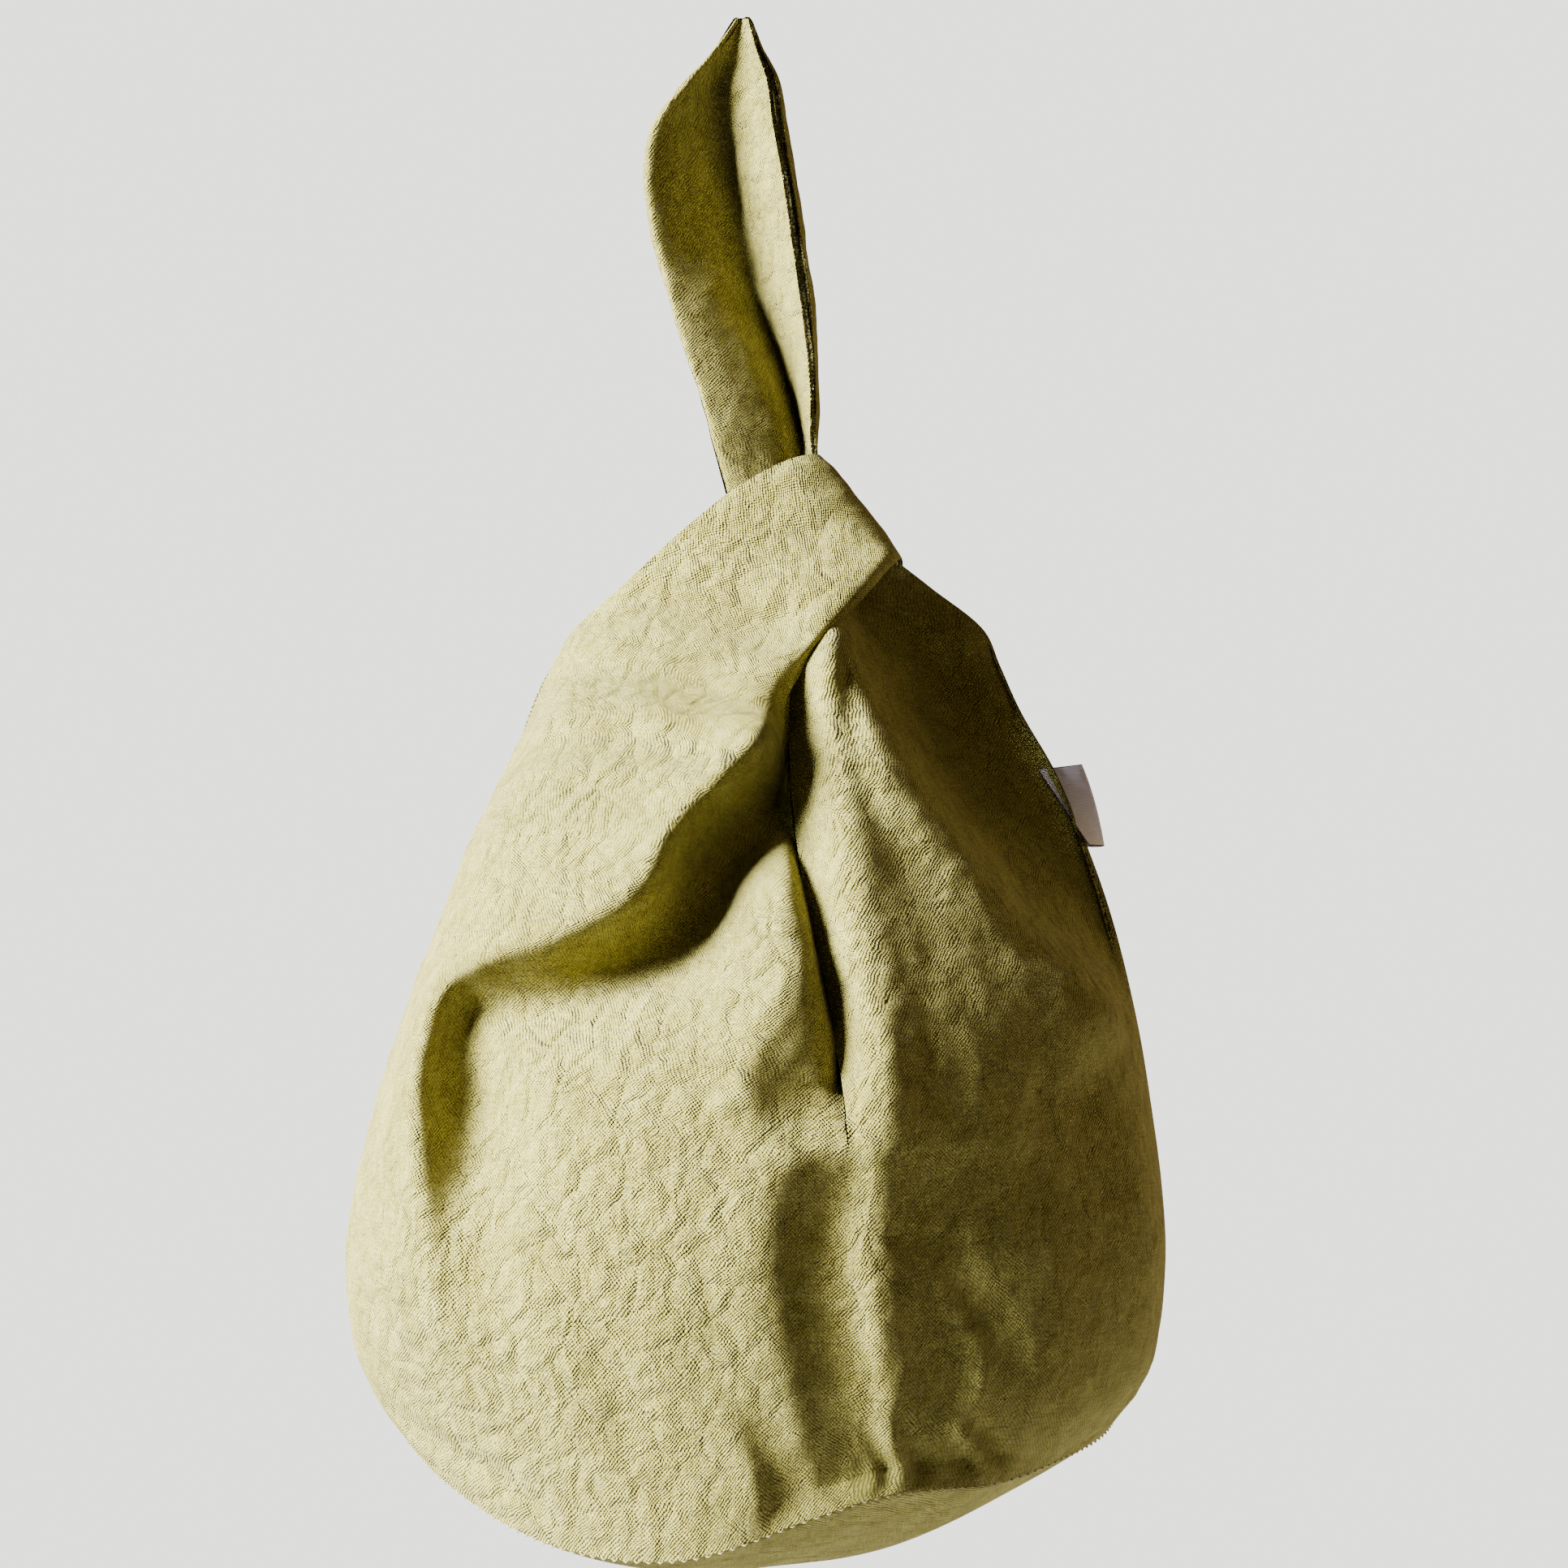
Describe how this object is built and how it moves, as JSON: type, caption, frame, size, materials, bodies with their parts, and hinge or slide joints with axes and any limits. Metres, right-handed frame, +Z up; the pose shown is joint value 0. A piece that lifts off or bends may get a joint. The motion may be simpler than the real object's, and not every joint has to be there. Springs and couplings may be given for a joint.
{
  "type": "knot bag",
  "caption": "Soft olive linen knot bag with a round base, hanging by a long handle that passes through a short loop; lined, with a small folded side label.",
  "frame": {"origin": "where the hook touches the inside top of the long handle", "axes": "+Z up, +X to the right as seen from the front, +Y away from the viewer, towards the wall it hangs on"},
  "size_m": [0.1968, 0.16, 0.3796],
  "materials": {
    "outer_cloth": "matte linen and cotton weave",
    "lining_cloth": "matte linen and cotton weave",
    "sewing_thread": "twisted thread",
    "label_ribbon": "matte woven ribbon, blank"
  },
  "bodies": {
    "long_handle": {"handle_left_leg_outer": "outer_cloth", "handle_left_leg_lining": "lining_cloth", "handle_right_leg_outer": "outer_cloth", "handle_right_leg_lining": "lining_cloth", "handle_peak_outer": "outer_cloth", "handle_peak_lining": "lining_cloth"},
    "bag_body": {"outer_front_panel": "outer_cloth", "outer_back_panel": "outer_cloth", "outer_base_panel": "outer_cloth", "lining_front_panel": "lining_cloth", "lining_back_panel": "lining_cloth", "lining_base_panel": "lining_cloth", "outer_side_seam_left": "sewing_thread", "outer_side_seam_right": "sewing_thread", "lining_side_seam_left": "sewing_thread", "lining_side_seam_right": "sewing_thread", "outer_base_seam": "sewing_thread", "lining_base_seam": "sewing_thread", "long_front_strap_outer": "outer_cloth", "long_front_strap_lining": "lining_cloth", "long_back_strap_outer": "outer_cloth", "long_back_strap_lining": "lining_cloth"},
    "short_loop": {"short_front_strap_outer": "outer_cloth", "short_front_strap_lining": "lining_cloth", "short_back_strap_outer": "outer_cloth", "short_back_strap_lining": "lining_cloth", "short_loop_seam": "sewing_thread"},
    "side_label": {"side_label": "label_ribbon"}
  },
  "joints": [
    {"name": "bag_swing", "type": "hinge", "parent": "long_handle", "child": "bag_body", "pos_m": [0.002, 0, -0.088], "axis": [1, 0, 0], "range_deg": [-45, 30]},
    {"name": "loop_slide", "type": "slide", "parent": "bag_body", "child": "short_loop", "axis": [-0.199, 0, 0.98], "range_m": [0, 0.018]},
    {"name": "label_flip", "type": "hinge", "parent": "bag_body", "child": "side_label", "pos_m": [0.0866, 0, -0.2005], "axis": [0.406, 0, -0.9139], "range_deg": [-60, 60], "stiffness_Nm_per_rad": 0.0005}
  ]
}
